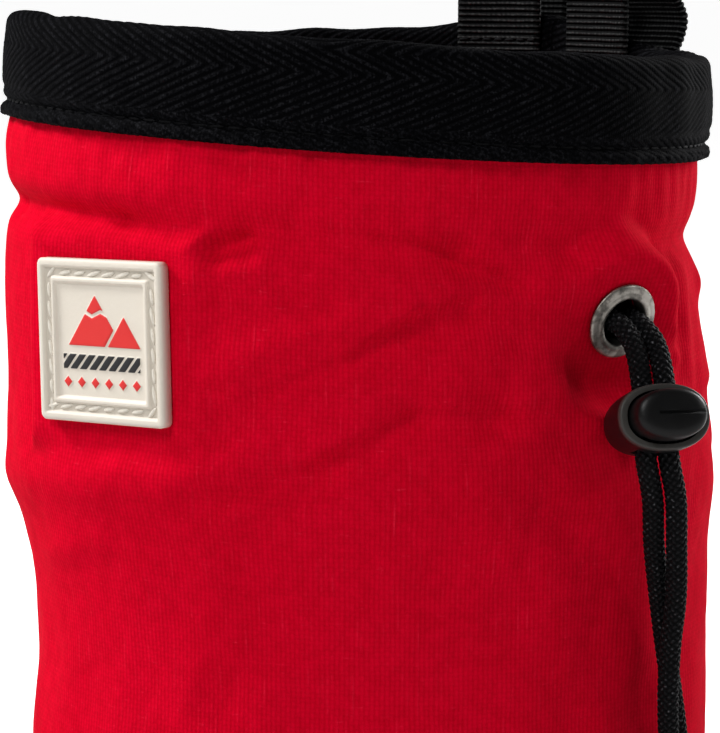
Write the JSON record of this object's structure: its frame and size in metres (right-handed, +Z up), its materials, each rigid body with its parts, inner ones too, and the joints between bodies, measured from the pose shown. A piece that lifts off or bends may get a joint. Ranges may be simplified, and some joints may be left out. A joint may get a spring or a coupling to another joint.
{
  "type": "climbing chalk bag",
  "caption": "Round cloth chalk bag with a bound rim, belt loops, a moulded label and a drawcord with a press toggle.",
  "frame": {"origin": "on the surface that the bag stands on, under the middle of its base", "axes": "+Z up, -Y towards the front, where the label is, +X towards the side with the eyelet, +Y towards the belt loops"},
  "size_m": [0.141, 0.1309, 0.1821],
  "materials": {
    "canvas": "woven crimson canvas, matt",
    "tape": "herringbone tape, matt",
    "webbing": "ribbed webbing, slight sheen",
    "label_rubber": "moulded, satin",
    "nickel": "satin, slightly worn",
    "braid": "braided cord, matt",
    "toggle_plastic": "moulded, satin"
  },
  "bodies": {
    "bag": {"body_shell": "canvas", "base_panel": "canvas", "rim_binding": "tape", "belt_loop_left": "webbing", "belt_loop_right": "webbing", "label_patch": "label_rubber", "eyelet": "nickel", "drawcord_left": "braid", "drawcord_right": "braid", "cord_knot": "braid", "toggle_casing": "toggle_plastic"},
    "button": {"toggle_button": "toggle_plastic"}
  },
  "joints": [
    {"name": "toggle_press", "type": "slide", "parent": "bag", "child": "button", "axis": [-0.8062, 0.5235, -0.2756], "range_m": [0, 0.003], "stiffness_N_per_m": 300, "springref_m": -0.002}
  ]
}
